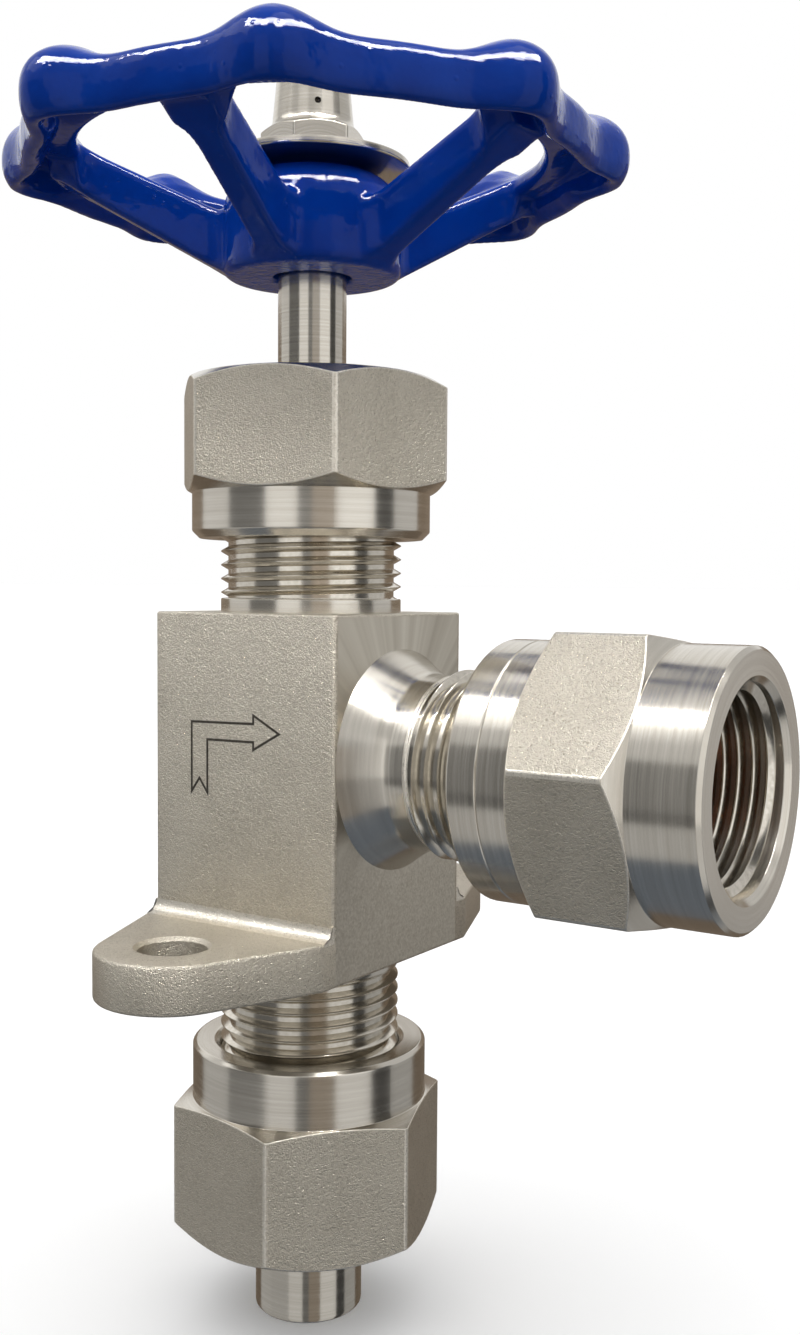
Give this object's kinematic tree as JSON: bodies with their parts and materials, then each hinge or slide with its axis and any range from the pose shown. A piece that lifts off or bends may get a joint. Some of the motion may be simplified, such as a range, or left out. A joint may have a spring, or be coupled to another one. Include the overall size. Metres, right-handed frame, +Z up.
{
  "type": "pressure gauge valve",
  "caption": "Angle-pattern stainless shut-off valve for a pressure gauge, with a blue scalloped handwheel, mounting lugs, a tube inlet and a turnbuckle gauge coupling.",
  "frame": {"origin": "stem axis, in the plane of the lugs' mounting face, midway between the two lug holes", "axes": "+Z up along the stem towards the handwheel, +X along the outlet towards the gauge, +Y along the line of the lug holes"},
  "size_m": [0.0845, 0.0668, 0.139],
  "materials": {
    "blasted_steel": "stainless steel, shot-blasted",
    "nut_steel": "stainless steel, turned rings and blasted hexagon flats",
    "bright_steel": "stainless steel, fine turned or ground",
    "fastener_steel": "stainless steel, satin",
    "blue_enamel": "thick glossy paint on a casting",
    "bronze": "machined",
    "graphite": "pressed graphite",
    "copper_seal": "annealed"
  },
  "bodies": {
    "valve": {"valve_body": "blasted_steel", "seat_ring": "bright_steel", "stem_bush": "bronze", "packing_washer": "fastener_steel", "packing_ring_lower": "graphite", "packing_ring_middle": "graphite", "packing_ring_upper": "graphite"},
    "cone": {"valve_cone": "bright_steel", "cone_clip": "fastener_steel"},
    "wheel": {"stem": "bright_steel", "handwheel": "blue_enamel", "wheel_washer": "fastener_steel", "wheel_nut": "fastener_steel"},
    "follower": {"gland_follower": "bright_steel"},
    "gland": {"gland_nut": "nut_steel"},
    "nipple": {"inlet_nipple": "bright_steel", "inlet_seal_ring": "copper_seal"},
    "inlet": {"inlet_union_nut": "nut_steel"},
    "outlet_seal": {"outlet_seal_washer": "copper_seal"},
    "coupling": {"outlet_coupling": "nut_steel"}
  },
  "joints": [
    {"name": "cone_lift", "type": "slide", "parent": "valve", "child": "cone", "axis": [0, 0, 1], "range_m": [-0.00451, 0]},
    {"name": "wheel_turn", "type": "hinge", "parent": "cone", "child": "wheel", "pos_m": [0, 0, 0.08], "axis": [0, 0, 1], "range_deg": [-1080, 0]},
    {"name": "follower_slide", "type": "slide", "parent": "valve", "child": "follower", "axis": [0, 0, 1], "range_m": [0, 0.00301]},
    {"name": "gland_turn", "type": "hinge", "parent": "follower", "child": "gland", "pos_m": [0, 0, 0.055], "axis": [0, 0, 1], "range_deg": [0, 720]},
    {"name": "nipple_slide", "type": "slide", "parent": "valve", "child": "nipple", "axis": [0, 0, -1], "range_m": [0, 0.00601]},
    {"name": "inlet_turn", "type": "hinge", "parent": "nipple", "child": "inlet", "pos_m": [0, 0, -0.02], "axis": [0, 0, -1], "range_deg": [0, 1440]},
    {"name": "seal_slide", "type": "slide", "parent": "valve", "child": "outlet_seal", "axis": [1, 0, 0], "range_m": [0, 0.00601]},
    {"name": "coupling_turn", "type": "hinge", "parent": "outlet_seal", "child": "coupling", "pos_m": [0.038, 0, 0.0222], "axis": [1, 0, 0], "range_deg": [-1440, 0]}
  ],
  "couplings": [
    {"joint": "cone_lift", "follows": "wheel_turn", "m_per_rad": 0.00023873},
    {"joint": "follower_slide", "follows": "gland_turn", "m_per_rad": 0.00023873},
    {"joint": "nipple_slide", "follows": "inlet_turn", "m_per_rad": 0.00023873},
    {"joint": "seal_slide", "follows": "coupling_turn", "m_per_rad": -0.00023873}
  ]
}
